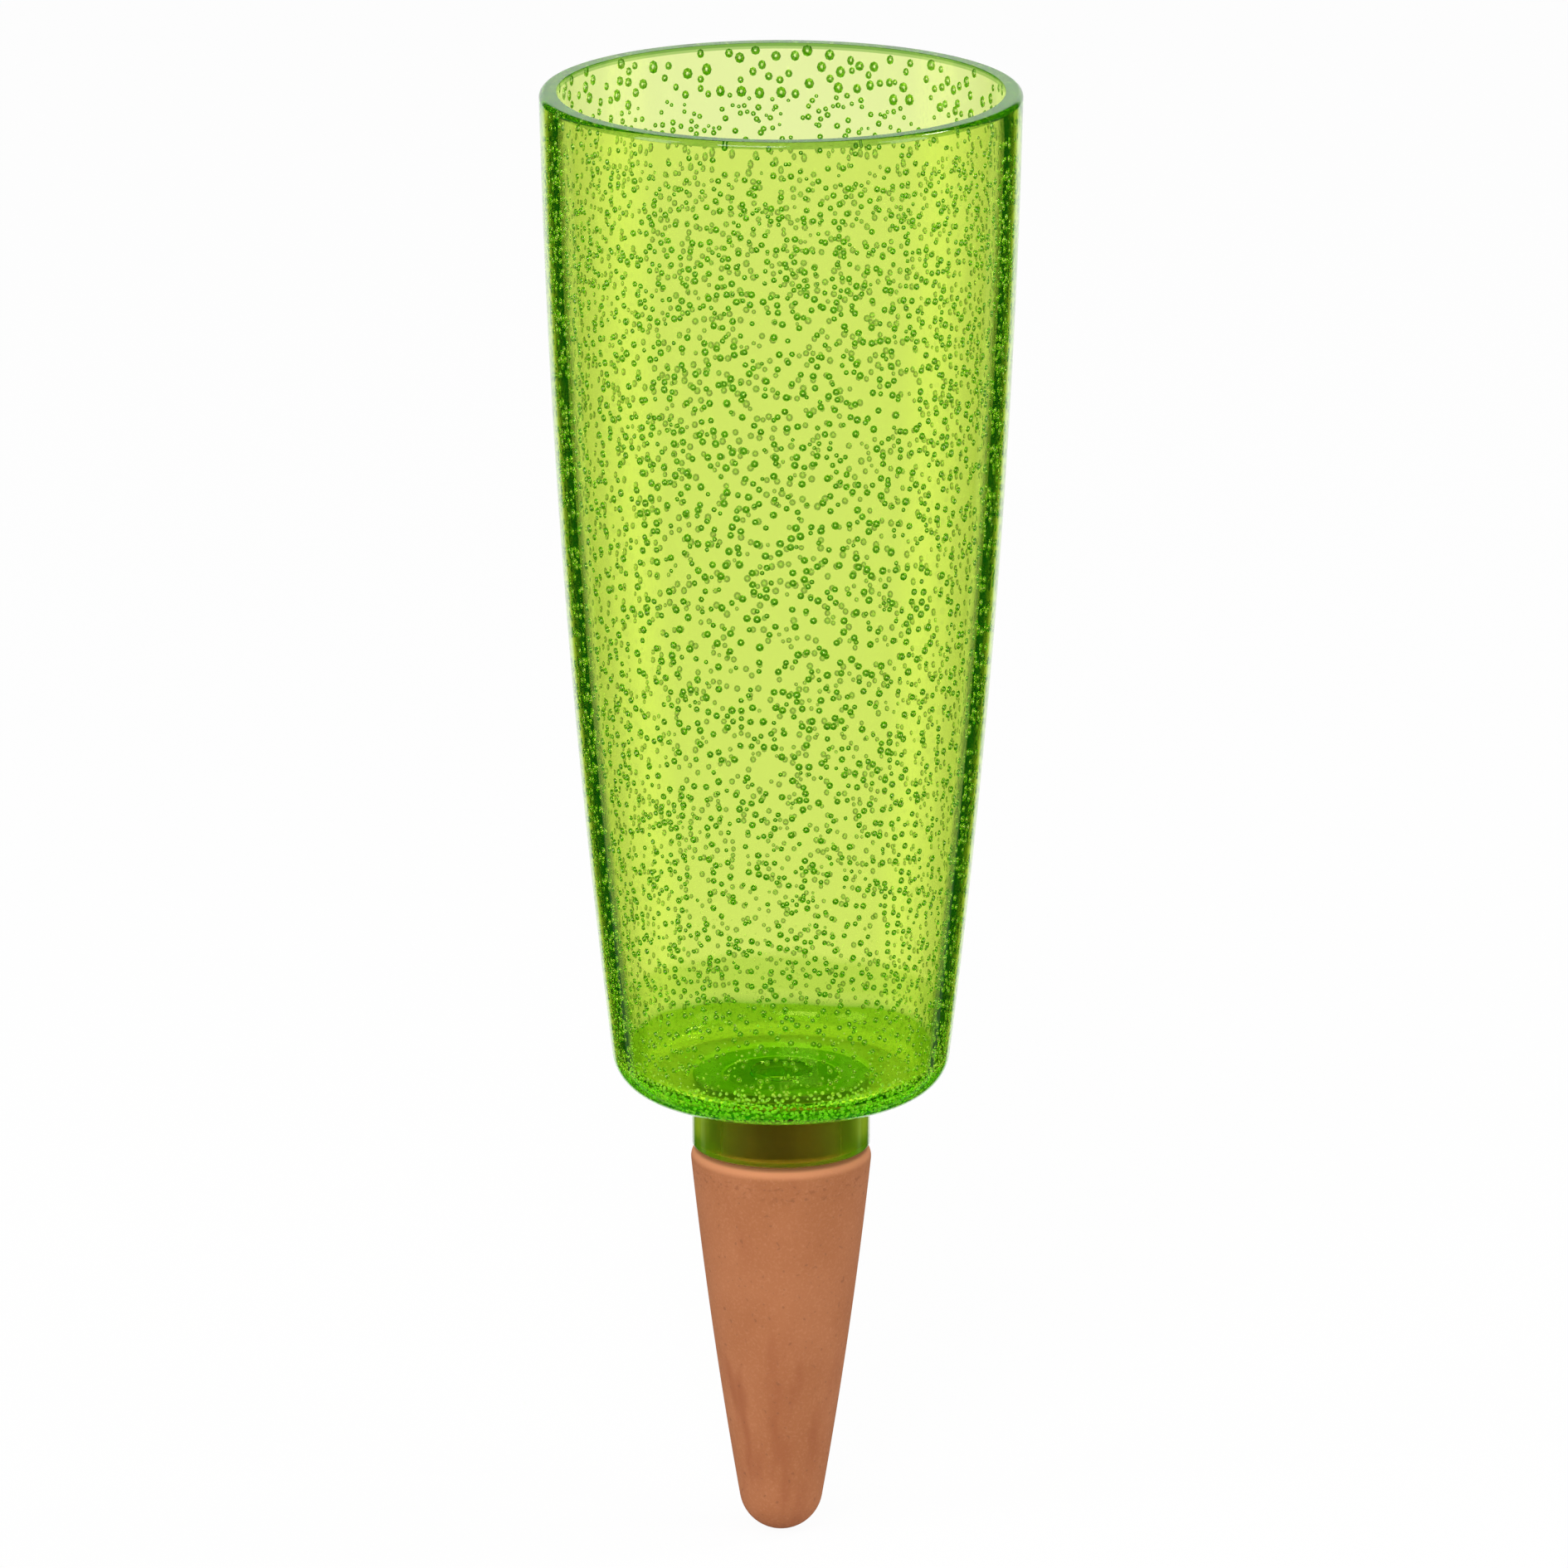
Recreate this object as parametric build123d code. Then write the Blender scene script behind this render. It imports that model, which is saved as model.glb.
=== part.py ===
"""Self watering spike: a bubble-filled clear green cup that stands on a hollow clay cone.

Units are millimetres and +Z is up. The origin is on the axis at the soil line, where the
collar meets the shoulder of the clay cone. The cone goes into the soil below it.
"""
import math
import os

from build123d import *

# Cup: a tall flared tumbler with one long convex wall, a flat floor and a central outlet
cup_height = 171.8
rim_radius = 40.0
base_radius = 27.75
wall_bulge = 2.2
cup_wall = 2.9
cup_floor = 3.3
rim_rounding = 1.0
base_rounding = 7.0
inner_base_rounding = 4.0
outlet_radius = 5.0

# Collar: a clear ring bonded under the cup floor, which sleeves over the clay spigot
collar_radius = 15.05
collar_height = 10.0
collar_edge = 0.3

# Clay cone: shoulder, tapered flank and domed tip, cast hollow, with a spigot on top
shoulder_radius = 15.5
cone_length = 69.0
tip_radius = 7.1
flank_slope_at_tip = 9.6
lip_rounding = 2.4
clay_wall = 4.0
shoulder_thickness = 6.0
spigot_radius = 10.1
spigot_edge = 0.5
water_bore_radius = 5.0

# Fits: the washer is the flat ring between the spigot's end and the cup floor
washer_thickness = 1.2
running_clearance = 0.05
washer_clearance = 0.3

# Levels along the axis and the radii that mating pieces share
cup_bottom = collar_height
rim_level = cup_bottom + cup_height
floor_level = cup_bottom + cup_floor
spigot_top = cup_bottom - washer_thickness
socket_radius = spigot_radius + running_clearance
washer_radius = socket_radius - washer_clearance


def cup_wall_circle():
    """Radius and centre of the circle that the cup's outer wall follows."""
    rise = rim_level - cup_bottom
    run = rim_radius - base_radius
    chord = math.hypot(rise, run)
    radius = chord**2 / (8 * wall_bulge) + wall_bulge / 2
    depth = radius - wall_bulge
    centre_r = (rim_radius + base_radius) / 2 - depth * rise / chord
    centre_z = (rim_level + cup_bottom) / 2 + depth * run / chord
    return radius, centre_r, centre_z


def cup_radius(level, inset=0.0):
    """Radius of the cup's wall at a level, inset from its outer face."""
    radius, centre_r, centre_z = cup_wall_circle()
    return centre_r + math.sqrt((radius - inset) ** 2 - (level - centre_z) ** 2)


def turned(*edges):
    """A solid of revolution about Z from the edges of a closed half section."""
    half_section = make_face(edges)
    return revolve(half_section, Axis.Z)


def section_point(radius, level):
    """A point of a half section, which lies in the XZ plane."""
    return Vector(radius, 0, level)


def cup_body(bottom, inset):
    """A solid tumbler whose wall lies inset from the cup's outer wall."""
    low = section_point(cup_radius(bottom, inset), bottom)
    middle_level = (bottom + rim_level) / 2
    middle = section_point(cup_radius(middle_level, inset), middle_level)
    high = section_point(cup_radius(rim_level, inset), rim_level)
    axis_low = section_point(0, bottom)
    axis_high = section_point(0, rim_level)
    return turned(
        Line(axis_low, low),
        ThreePointArc(low, middle, high),
        Line(high, axis_high),
        Line(axis_high, axis_low),
    )


def bottom_edge(body):
    """The lowest circular edge of a turned solid."""
    return body.edges().filter_by(GeomType.CIRCLE).group_by(Axis.Z)[0]


def top_edge(body):
    """The highest circular edge of a turned solid."""
    return body.edges().filter_by(GeomType.CIRCLE).group_by(Axis.Z)[-1]


def pillar(radius, bottom, top):
    """A plain round bar on the axis between two levels."""
    return Pos(0, 0, (bottom + top) / 2) * Cylinder(radius, top - bottom)


def reservoir_cup():
    outside = cup_body(cup_bottom, 0.0)
    outside = fillet(bottom_edge(outside), base_rounding)
    outside = fillet(top_edge(outside), rim_rounding)
    inside = cup_body(floor_level, cup_wall)
    inside = fillet(bottom_edge(inside), inner_base_rounding)
    return outside - inside - pillar(outlet_radius, cup_bottom, floor_level)


def neck_collar():
    ring = pillar(collar_radius, 0, collar_height)
    ring = chamfer(bottom_edge(ring), collar_edge)
    return ring - pillar(socket_radius, 0, collar_height)


def seal_washer():
    return pillar(washer_radius, spigot_top, cup_bottom) - pillar(outlet_radius, spigot_top, cup_bottom)


def tapered_body(top, top_radius, dome_radius):
    """A cone with a domed tip; every such body shares the centre of the dome."""
    dome_centre = tip_radius - cone_length
    slope = math.radians(flank_slope_at_tip)
    half_angle = (math.pi / 2 - slope) / 2
    tip = section_point(0, dome_centre - dome_radius)
    dome_side = section_point(
        dome_radius * math.sin(half_angle),
        dome_centre - dome_radius * math.cos(half_angle),
    )
    flank_foot = section_point(
        dome_radius * math.cos(slope),
        dome_centre - dome_radius * math.sin(slope),
    )
    flank_top = section_point(top_radius, top)
    axis_top = section_point(0, top)
    return turned(
        ThreePointArc(tip, dome_side, flank_foot),
        TangentArc(flank_foot, flank_top, tangent=Vector(math.sin(slope), 0, math.cos(slope))),
        Line(flank_top, axis_top),
        Line(axis_top, tip),
    )


def clay_cone():
    outside = tapered_body(0, shoulder_radius, tip_radius)
    outside = fillet(top_edge(outside), lip_rounding)
    spigot = pillar(spigot_radius, 0, spigot_top)
    spigot = chamfer(top_edge(spigot), spigot_edge)
    slope = math.radians(flank_slope_at_tip)
    hollow_top_radius = shoulder_radius - shoulder_thickness * math.sin(slope) - clay_wall
    hollow = tapered_body(-shoulder_thickness, hollow_top_radius, tip_radius - clay_wall)
    water_bore = pillar(water_bore_radius, -shoulder_thickness, spigot_top)
    return outside + spigot - hollow - water_bore


os.makedirs("parts", exist_ok=True)
for make_piece in (reservoir_cup, neck_collar, seal_washer, clay_cone):
    export_step(make_piece(), f"parts/{make_piece.__name__}.step")
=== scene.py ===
"""Looks of a self watering spike: bubble glass cup, clear collar, soft seal and clay cone."""
import math
import random
from typing import NamedTuple

import bmesh
import bpy
import numpy as np
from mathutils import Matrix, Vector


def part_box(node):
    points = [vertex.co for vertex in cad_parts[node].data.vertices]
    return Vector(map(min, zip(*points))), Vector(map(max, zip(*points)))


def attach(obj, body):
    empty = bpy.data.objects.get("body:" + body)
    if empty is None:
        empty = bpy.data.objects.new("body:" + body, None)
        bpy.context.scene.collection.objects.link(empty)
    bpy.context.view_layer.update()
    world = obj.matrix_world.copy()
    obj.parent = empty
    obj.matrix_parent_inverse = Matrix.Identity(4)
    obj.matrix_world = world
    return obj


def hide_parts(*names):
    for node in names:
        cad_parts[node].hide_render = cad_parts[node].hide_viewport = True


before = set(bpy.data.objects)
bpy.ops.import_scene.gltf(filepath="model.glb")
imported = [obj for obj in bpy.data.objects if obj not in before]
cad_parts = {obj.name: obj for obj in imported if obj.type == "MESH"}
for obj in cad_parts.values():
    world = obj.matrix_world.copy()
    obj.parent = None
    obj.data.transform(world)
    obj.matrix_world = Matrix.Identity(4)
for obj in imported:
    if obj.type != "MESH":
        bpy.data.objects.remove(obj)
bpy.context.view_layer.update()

MM = 0.001
FULL_TURN = 2 * math.pi
RIGHT_ANGLE = math.pi / 2

# Levels and radii that the frame gives
CUP_LOW, CUP_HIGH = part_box("reservoir_cup")
COLLAR_LOW, COLLAR_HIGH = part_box("neck_collar")
SEAL_LOW, SEAL_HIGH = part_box("seal_washer")
CONE_LOW, CONE_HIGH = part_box("clay_cone")
CUP_BOTTOM = CUP_LOW.z
RIM_LEVEL = CUP_HIGH.z

# Cup
RIM_RADIUS = 40.0 * MM
BASE_RADIUS = 27.75 * MM
WALL_BULGE = 2.2 * MM
CUP_WALL = 2.9 * MM
CUP_FLOOR = 3.3 * MM
RIM_ROUNDING = 1.0 * MM
BASE_ROUNDING = 7.0 * MM
INNER_BASE_ROUNDING = 4.0 * MM
OUTLET_RADIUS = 5.0 * MM
OUTLET_EDGE = 0.3 * MM
FLOOR_LEVEL = CUP_BOTTOM + CUP_FLOOR

# The rim's slope: places along it, its swell towards the corner, and how the swell eases off
BEVEL_PLACES = (0.12, 0.3, 0.5, 0.7, 0.88)
BEVEL_SWELL = 0.42
BEVEL_EASE = 0.8

# Collar and seal
COLLAR_RADIUS = 15.05 * MM
COLLAR_EDGE = 0.3 * MM
SOCKET_RADIUS = 10.15 * MM
BOND_GAP = 0.02 * MM
SEAL_EDGE = 0.25 * MM

# Clay cone
SHOULDER_RADIUS = 15.5 * MM
LIP_ROUNDING = 2.4 * MM
LIP_CLEARANCE = 0.2 * MM
TIP_RADIUS = 7.1 * MM
FLANK_SLOPE = math.radians(9.6)
SPIGOT_RADIUS = 10.1 * MM
SPIGOT_EDGE = 0.5 * MM
WATER_BORE = 5.0 * MM
CLAY_WALL = 4.0 * MM
SHOULDER_THICKNESS = 6.0 * MM
SEAT_GAP = 0.05 * MM

# How finely the round pieces are drawn: steps about the axis, and points along each stretch
GLASS_STEPS = 160
CLAY_STEPS = 128
SEAL_STEPS = 96
WALL_POINTS = 44
HEEL_POINTS = 16
INNER_CORNER_POINTS = 14
COLLAR_EDGE_POINTS = 5
LIP_POINTS = 10
FLANK_POINTS, DOME_POINTS = 34, 16
HOLLOW_FLANK_POINTS, HOLLOW_DOME_POINTS = 20, 8
MERGE_DISTANCE = 0.002 * MM
SMOOTH_ANGLE = math.radians(40)

# Bubbles in the wall, by height from floor to rim: number a square millimetre, and the radius of
# the largest in millimetres
BUBBLE_SEED = 11
BUBBLE_HEIGHTS = (0.0, 0.20, 0.35, 0.45, 0.60, 0.70, 0.85, 0.93, 0.97, 1.0)
BUBBLE_SHARES = (0.36, 0.32, 0.27, 0.21, 0.26, 0.30, 0.41, 0.34, 0.19, 0.15)
BUBBLE_RADII = (0.58, 0.58, 0.64, 0.70, 0.70, 0.67, 0.62, 0.58, 0.56, 0.54)
BUBBLE_SMALLEST = 0.48
BUBBLE_BIAS = 0.55
BUBBLE_STRETCH = 0.12
BUBBLE_SKIN = 0.18 * MM
BUBBLE_GAP = 0.03 * MM
BUBBLE_CELL = 2.4 * MM
WALL_BAND = 4.0 * MM
WALL_BANDS_END = RIM_LEVEL - 1.2 * MM

# The largest and longest bubbles lie under the rim, on one side; their radius is in millimetres
LARGE_LEVEL = RIM_LEVEL - 9.0 * MM
LARGE_SIDE = 0.1
LARGE_RADIUS = 0.95
LARGE_STRETCH = 0.25

# Fine bubbles: how many are tried, and their least and greatest radius
HEEL_SEEDS, HEEL_SEED_RADII = 4500, (0.20 * MM, 0.40 * MM)
FLOOR_SEEDS, FLOOR_SEED_RADII = 420, (0.30 * MM, 0.52 * MM)
LOW_WALL_SEEDS, LOW_WALL_SEED_RADII = 1000, (0.17 * MM, 0.30 * MM)
LOW_WALL_REACH = 16.0 * MM
LOW_WALL_BIAS = 1.6

# Pieces that share the wall's bubbles out by height
BUBBLE_LOTS = ("bubbles_low", "bubbles_middle", "bubbles_high")

# Camera: fitted to the ellipses of the rim and the collar in a square picture
PICTURE = 1890
FOCAL_PX = 13758.9
SENSOR = 36.0
AXIS_PX = 941.5
CAMERA_DISTANCE = 1841.3 * MM
CAMERA_ABOVE_RIM = 405.8 * MM
CAMERA_PITCH = math.radians(15.907)

# What rays find in the studio: turned aside inside the glass, mirrored, or scattered
WHITE = (1, 1, 1, 1)
STUDIO_TURNED = (0.03, 0.14, 0.0, 1)
STUDIO_EDGE = (0.003, 0.055, 0.0, 1)
STUDIO_GUIDED = (0.03, 0.32, 0.0, 1)
STUDIO_ABOVE = (0.22, 0.52, 0.03, 1)
STUDIO_MIRRORED = (0.015, 0.015, 0.01, 1)
STUDIO_AMBIENT = (0.55, 0.55, 0.55, 1)
STRIP_LIGHT = (0.2, 0.21, 0.15, 1)
CARD_LIGHT = (1.1, 1.15, 0.5, 1)

# Where those lights begin and end, as parts of a ray's direction
STRIP_FROM, STRIP_TO, STRIP_BACK = (0.79, 0.82), (0.91, 0.88), (0.0, 0.1)
CARD_FROM, CARD_BACK, CARD_FRONT = (0.68, 0.78), (0.30, 0.20), (-0.35, -0.15)
ABOVE_EDGE = (0.05, 0.65)
DARK_EDGE = (0.50, 0.66)
BACKDROP_TURNED = (0.885, 0.955)
BACKDROP_MIRRORED = (0.86, 0.93)
BACKDROP_TOP = (0.50, 0.35)
TURNED_TOP = (0.16, 0.04)

# Halfway marks between whole numbers of bounces
ONCE, TWICE, THRICE = 0.5, 1.5, 2.5

# Stage and lamps: azimuth and elevation in degrees, size in metres, power in watts
STAGE_SIZE = 8.0
STAGE_WHITE = (0.95, 0.95, 0.95, 1)
STAGE_GLOW = 0.95
SOFTBOX_DISTANCE = 1.4
SOFTBOXES = (
    ("soft_left", -62, 18, (0.5, 1.2), 6),
    ("soft_right", 62, 18, (0.5, 1.2), 5),
    ("soft_high", 102, 48, (0.22, 0.22), 3),
    ("soft_front", -15, 38, (0.7, 0.5), 7),
)
GLASS_BOUNCES = 24
GLOSSY_BOUNCES = 16

# Green glass
GLASS_IOR = 1.5
GLASS_GREEN = (0.860, 0.964, 0.095, 1)
CUP_DENSITY = 345.0
COLLAR_DENSITY = 240.0

# Painted shade and a painted reflection: tints where the cup's glass looks deeper green
FLOOR_SHADE = (0.235, 0.56, 0.0115, 1)
HEEL_SHADE = (0.105, 0.33, 0.0033, 1)
BAND_REFLECTION = (0.54, 0.71, 0.29, 1)
FLOOR_SHADE_OVER_SEAL = (0.21, 1.0, 0.001, 1)
FLOOR_SHADE_OVER_COLLAR = (0.29, 1.0, 0.005, 1)
OUTER_HEEL_SHADE = (0.34, 0.96, 0.18, 1)
RIM_SHADE = (0.27, 0.46, 0.20, 1)
LAND_SHADE = (0.36, 0.55, 0.24, 1)
EDGE_SHADE = (0.004, 0.05, 0.0, 1)

# Where those tints lie: stops are heights above the floor in millimetres, each with a share
HEEL_STOPS = ((0.0, 1.0), (4.2, 1.0), (7.0, 0.0))
BAND_STOPS = ((0.0, 0.0), (4.2, 0.0), (7.0, 1.0), (11.4, 0.95), (13.0, 0.0))
HEEL_REACH = 25.5 * MM
HEEL_FLARE = 0.217
HEEL_WAVE = 4.0 * MM
FLOOR_SKIN = 0.1 * MM
FLOOR_TO_HEEL = (0.3 * MM, 1.2 * MM)
OVER_SEAL = (SEAL_HIGH.x - 0.5 * MM, SOCKET_RADIUS + 0.5 * MM)
OVER_COLLAR = (COLLAR_RADIUS - 1.0 * MM, COLLAR_RADIUS + 1.0 * MM)
OUTER_HEEL = (CUP_BOTTOM + 7.0 * MM, CUP_BOTTOM + 4.5 * MM)
RIM_SLOPE = (RIM_LEVEL - 1.10 * MM, RIM_LEVEL - 0.95 * MM)
RIM_LAND = (RIM_LEVEL - 0.06 * MM, RIM_LEVEL - 0.01 * MM)
SHORT_CHORD = (21.0 * MM, 11.0 * MM)
EDGE_LEVELS = (FLOOR_LEVEL + 4.0 * MM, FLOOR_LEVEL + 7.0 * MM)

# Where the glass is matt, and how matt
CUP_UNDERSIDE = (CUP_BOTTOM + 0.12 * MM, CUP_BOTTOM + 0.02 * MM)
UNDERSIDE_MATT = 0.2
OPEN_UNDERSIDE_MATT = 0.15
LAND_MATT = 0.25
COLLAR_UNDERSIDE = (0.25 * MM, 0.05 * MM)
COLLAR_UNDERSIDE_MATT = 0.4
SOCKET_SKIN = (SOCKET_RADIUS + 0.3 * MM, SOCKET_RADIUS + 0.1 * MM)
SOCKET_MATT = 0.5
STREAK_STRENGTH, STREAK_DEPTH = 0.6, 0.06 * MM

# Air in the glass: a bubble's ratio is lower than real air has, which gives it a broad dark ring
BUBBLE_RATIO = 0.46
FAR_FAINTNESS = 0.5
FAR_TINT = (0.45, 0.72, 0.25, 1)
# The finest bubbles' pale colours are a painted glint
SEED_GLINT_DEEP = (0.52, 0.90, 0.12, 1)
SEED_GLINT_PALE = (0.80, 0.98, 0.34, 1)
SEED_FAINTNESS = 0.9
SEED_CLEARNESS = 0.4

# Bond film and silicone
FILM_DEEP = (0.68, 0.87, 0.44, 1)
FILM_PALE = (0.78, 0.94, 0.58, 1)
FILM_GLOW = 0.18
FILM_MATT = 0.6
SILICONE_DEEP = (0.84, 0.89, 0.78, 1)
SILICONE_PALE = (0.89, 0.93, 0.84, 1)
SILICONE_MATT = 0.55

# Clay: colours, the strength of each mark, and the heights between which it fades
CLAY_DEEP = (0.378, 0.136, 0.053, 1)
CLAY_PALE = (0.425, 0.160, 0.067, 1)
CLAY_MATT = 0.92
CLAY_SHEEN = 0.25
GRAIN_COLOUR, GRAIN_STRENGTH = (0.56, 0.24, 0.12, 1), 0.35
GRAIN_RELIEF, GRAIN_DEPTH = 0.4, 0.15 * MM
SMUDGE_COLOUR = (0.315, 0.098, 0.038, 1)
SMUDGE_LEVELS, SMUDGE_LOW, SMUDGE_ALL = (-20.0 * MM, -45.0 * MM), 0.5, 0.25
SPECK_COLOUR, SPECK_STRENGTH = (0.20, 0.075, 0.035, 1), 0.5
PIT_COLOUR, PIT_STRENGTH = (0.24, 0.085, 0.036, 1), 0.5
PIT_BOTTOM, PIT_TOP = (-7.5 * MM, -4.5 * MM), (-2.8 * MM, -3.8 * MM)
# A painted highlight on the clay's lip
LIP_HIGHLIGHT, LIP_HIGHLIGHT_STRENGTH = (0.70, 0.285, 0.138, 1), 0.95
LIP_HIGHLIGHT_LEVELS = (-2.5 * MM, -1.2 * MM)
# Painted shade in the crevice under the collar
CREVICE_SHADE, CREVICE_SHADE_STRENGTH = (0.16, 0.05, 0.02, 1), 0.6
CREVICE_RADII, CREVICE_LEVELS = (13.6 * MM, 14.4 * MM), (-1.1 * MM, -0.6 * MM)
# Painted shade on the spigot inside the collar, with paler streaks of painted light
SPIGOT_SHADE_DEEP = (0.06, 0.028, 0.006, 1)
SPIGOT_SHADE_PALE = (0.13, 0.066, 0.02, 1)
SPIGOT_SHADE_LEVELS, SPIGOT_SHADE_STRENGTH = (0.0, 0.8 * MM), 0.85


class Pattern(NamedTuple):
    """A noise: its scale and detail, the limits of a mask made from it, and its stretch by axis."""

    scale: float
    detail: float
    limits: tuple = (0.0, 1.0)
    stretch: tuple = (1, 1, 1)


CLAY_GRAIN = Pattern(2200.0, 3.0, (0.45, 0.80))
CLAY_SMUDGES = Pattern(130.0, 3.0, (0.50, 0.66), (1, 1, 0.22))
CLAY_SPECKS = Pattern(1100.0, 1.0, (0.66, 0.76))
CLAY_PITS = Pattern(900.0, 2.0, (0.54, 0.66), (1, 1, 1.8))
# Paler streaks of painted light on the spigot's painted shade
SPIGOT_LIGHT_STREAKS = Pattern(260.0, 3.0, (0.40, 0.64), (1, 1, 0.12))
COLLAR_STREAKS = Pattern(700.0, 2.0, stretch=(1, 1, 0.04))
HEEL_WAVES = Pattern(45.0, 1.0)
NOISE_MIDDLE = 0.5

# Soft clouds that several materials share: the limits of their mask, then scale and detail in each
CLOUD_LIMITS = (0.32, 0.68)
CLAY_CLOUDS = Pattern(70.0, 5.0)
FILM_CLOUDS = Pattern(400.0, 3.0)
SEED_CLOUDS = Pattern(250.0, 1.0)
SILICONE_CLOUDS = Pattern(300.0, 2.0)

# Places of a Mix node's colour sockets, whose names it uses more than once
MIX_SHARE, MIX_FIRST, MIX_SECOND, MIX_RESULT = 0, 6, 7, 2


def deselect():
    bpy.ops.object.select_all(action="DESELECT")


def arc(centre, radius, start, end, count):
    """Points of an arc in a half section, from one angle to another."""
    angles = np.linspace(start, end, count)
    return [(centre[0] + radius * math.cos(a), centre[1] + radius * math.sin(a)) for a in angles]


def lathe(name, section, steps):
    """Draw a closed half section with extruded points and spin it about the axis."""
    deselect()
    bpy.ops.mesh.primitive_plane_add(size=MM, location=(0, 0, 0))
    piece = bpy.context.object
    piece.name = name
    piece.data.name = name
    bpy.ops.object.mode_set(mode="EDIT")
    bpy.ops.mesh.select_mode(type="VERT")
    bpy.ops.mesh.select_all(action="SELECT")
    bpy.ops.mesh.merge(type="CENTER")
    bpy.ops.transform.translate(value=(section[0][0], 0, section[0][1]))
    for (r0, z0), (r1, z1) in zip(section, section[1:]):
        bpy.ops.mesh.extrude_region_move(TRANSFORM_OT_translate={"value": (r1 - r0, 0, z1 - z0)})
    edit = bmesh.from_edit_mesh(piece.data)
    ends = [v for v in edit.verts if len(v.link_edges) == 1]
    bpy.ops.mesh.select_all(action="DESELECT")
    for v in ends:
        v.select = True
    edit.select_flush(True)
    bmesh.update_edit_mesh(piece.data)
    bpy.ops.mesh.edge_face_add()
    bpy.ops.mesh.select_all(action="SELECT")
    bpy.ops.mesh.spin(steps=steps, angle=FULL_TURN, center=(0, 0, 0), axis=(0, 0, 1))
    bpy.ops.mesh.select_all(action="SELECT")
    bpy.ops.mesh.remove_doubles(threshold=MERGE_DISTANCE)
    bpy.ops.mesh.normals_make_consistent(inside=False)
    bpy.ops.object.mode_set(mode="OBJECT")
    bpy.ops.object.shade_smooth_by_angle(angle=SMOOTH_ANGLE)
    return piece


class CupWall:
    """The long arc that the cup's wall follows, and the rounded corners tangent to it."""

    def __init__(self):
        rise = RIM_LEVEL - CUP_BOTTOM
        run = RIM_RADIUS - BASE_RADIUS
        chord = math.hypot(rise, run)
        self.radius = chord**2 / (8 * WALL_BULGE) + WALL_BULGE / 2
        depth = self.radius - WALL_BULGE
        self.r = (RIM_RADIUS + BASE_RADIUS) / 2 - depth * rise / chord
        self.z = (RIM_LEVEL + CUP_BOTTOM) / 2 + depth * run / chord

    def at(self, level, inset=0.0):
        """Radius of the wall at a level, inset from its outer face."""
        return self.r + math.sqrt((self.radius - inset) ** 2 - (level - self.z) ** 2)

    def angle(self, level, inset=0.0):
        """Angle along the wall's arc at a level."""
        return math.asin((level - self.z) / (self.radius - inset))

    def corner(self, centre_level, rounding, inset=0.0):
        """Centre of a corner rounding inside the wall, and the angle where it meets the wall."""
        reach = self.radius - inset - rounding
        lift = centre_level - self.z
        centre = (self.r + math.sqrt(reach**2 - lift**2), centre_level)
        return centre, math.asin(lift / reach)

    def heel(self):
        """The outer corner between the wall and the underside."""
        return self.corner(CUP_BOTTOM + BASE_ROUNDING, BASE_ROUNDING)

    def inner_heel(self):
        """The inner corner between the wall and the floor."""
        return self.corner(FLOOR_LEVEL + INNER_BASE_ROUNDING, INNER_BASE_ROUNDING, CUP_WALL)

    def run(self, start, end, inset=0.0):
        """Points along the wall between two of its angles."""
        return arc((self.r, self.z), self.radius - inset, start, end, WALL_POINTS)


WALL = CupWall()


def rim_bevel():
    """The slope between the wall and the flat rim, eased at both ends."""
    low = np.array((WALL.at(RIM_LEVEL - RIM_ROUNDING), RIM_LEVEL - RIM_ROUNDING))
    high = np.array((WALL.at(RIM_LEVEL) - RIM_ROUNDING, RIM_LEVEL))
    corner = np.array((WALL.at(RIM_LEVEL), RIM_LEVEL))
    outwards = corner - (low + high) / 2
    points = [low]
    for place in BEVEL_PLACES:
        swell = BEVEL_SWELL * (1 - (2 * place - 1) ** 2) ** BEVEL_EASE
        points.append(low + (high - low) * place + outwards * swell)
    return [tuple(float(c) for c in p) for p in points + [high]]


def cup_section():
    """Half section of the cup, from the outlet round the outside and back down the inside."""
    heel, heel_meets = WALL.heel()
    inner, inner_meets = WALL.inner_heel()
    bevel = rim_bevel()
    bevel_meets = WALL.angle(bevel[0][1])
    inner_rim = WALL.angle(RIM_LEVEL, CUP_WALL)
    outlet = OUTLET_RADIUS + OUTLET_EDGE
    points = [(OUTLET_RADIUS, CUP_BOTTOM + OUTLET_EDGE), (outlet, CUP_BOTTOM)]
    points += arc(heel, BASE_ROUNDING, -RIGHT_ANGLE, heel_meets, HEEL_POINTS)
    points += WALL.run(heel_meets, bevel_meets)[1:-1]
    points += bevel
    points += WALL.run(inner_rim, inner_meets, CUP_WALL)
    points += arc(inner, INNER_BASE_ROUNDING, inner_meets, -RIGHT_ANGLE, INNER_CORNER_POINTS)[1:]
    points += [(outlet, FLOOR_LEVEL), (OUTLET_RADIUS, FLOOR_LEVEL - OUTLET_EDGE)]
    return points


def collar_section():
    """Half section of the collar, a hair below the cup."""
    top = COLLAR_HIGH.z - BOND_GAP
    bottom = COLLAR_LOW.z
    edge_centre = (COLLAR_RADIUS - COLLAR_EDGE, bottom + COLLAR_EDGE)
    edge = arc(edge_centre, COLLAR_EDGE, -RIGHT_ANGLE, 0, COLLAR_EDGE_POINTS)
    return [(SOCKET_RADIUS, bottom)] + edge + [(COLLAR_RADIUS, top), (SOCKET_RADIUS, top)]


def seal_section():
    """Half section of the seal, with its outer edges broken."""
    low, high = SEAL_LOW.z, SEAL_HIGH.z
    outer = SEAL_HIGH.x
    lower_edge = [(outer - SEAL_EDGE, low), (outer, low + SEAL_EDGE)]
    upper_edge = [(outer, high - SEAL_EDGE), (outer - SEAL_EDGE, high)]
    return lower_edge + upper_edge + [(OUTLET_RADIUS, high), (OUTLET_RADIUS, low)]


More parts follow.
